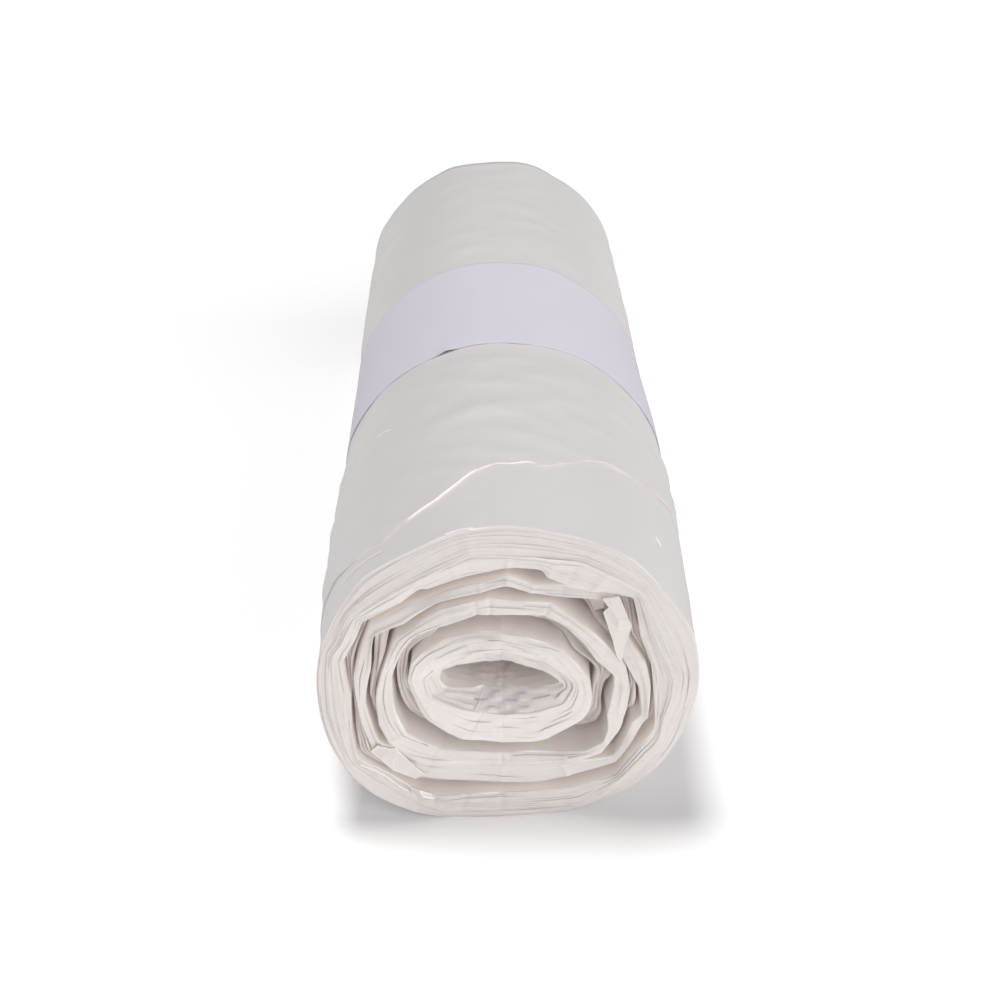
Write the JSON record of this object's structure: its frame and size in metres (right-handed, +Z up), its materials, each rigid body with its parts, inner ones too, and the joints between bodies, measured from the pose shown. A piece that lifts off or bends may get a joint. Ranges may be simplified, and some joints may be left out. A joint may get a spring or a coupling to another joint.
{
  "type": "bin bag roll",
  "caption": "Flattened roll of thin translucent white film bin bags, wound without a core, its turns and hollow middle open at both ends, held by a plain white paper band round the middle.",
  "frame": {"origin": "under the middle of the roll, on the surface that it lies on", "axes": "+Y along the roll's axis, +Z up, away from the flat spot that the roll lies on"},
  "size_m": [0.0816, 0.252, 0.0705],
  "materials": {
    "bag_film": "translucent white thin film with a soft satin sheen",
    "band_paper": "smooth uncoated white paper with a faint cool violet cast"
  },
  "bodies": {
    "root": {"bag_roll": "bag_film", "paper_band": "band_paper"}
  },
  "joints": []
}
